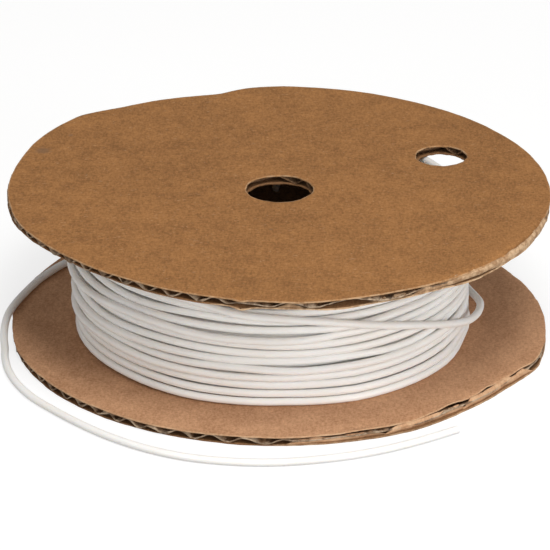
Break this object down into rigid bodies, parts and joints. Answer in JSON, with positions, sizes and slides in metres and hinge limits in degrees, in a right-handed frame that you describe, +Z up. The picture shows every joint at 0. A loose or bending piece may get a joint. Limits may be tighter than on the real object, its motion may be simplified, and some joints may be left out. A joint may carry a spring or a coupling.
{
  "type": "string reel",
  "caption": "Shallow reel with two corrugated board discs on a paper core, wound with round plastic string whose loose end lies around it.",
  "frame": {"origin": "on the floor under the reel, where the axis of the spindle hole meets the lower disc's underside", "axes": "+Z up along the spindle hole's axis, out through the upper disc; +X to the right and +Y to the back of the reel as it is seen from the front, where the string's free end lies"},
  "size_m": [0.1419, 0.152, 0.0398],
  "materials": {
    "kraft_liner": "matt unbleached kraft paper",
    "kraft_medium": "matt recycled fluting paper",
    "core_paper": "matt spiral-wound grey-brown paper",
    "paper_glue": "dried white glue",
    "white_string": "smooth satin white plastic"
  },
  "bodies": {
    "root": {"top_flange_outer_liner": "kraft_liner", "top_flange_fluting": "kraft_medium", "top_flange_inner_liner": "kraft_liner", "bottom_flange_inner_liner": "kraft_liner", "bottom_flange_fluting": "kraft_medium", "bottom_flange_outer_liner": "kraft_liner", "core_tube": "core_paper", "upper_core_glue": "paper_glue", "lower_core_glue": "paper_glue", "string_winding": "white_string", "string_loose_end": "white_string", "string_inner_end": "white_string"}
  },
  "joints": []
}
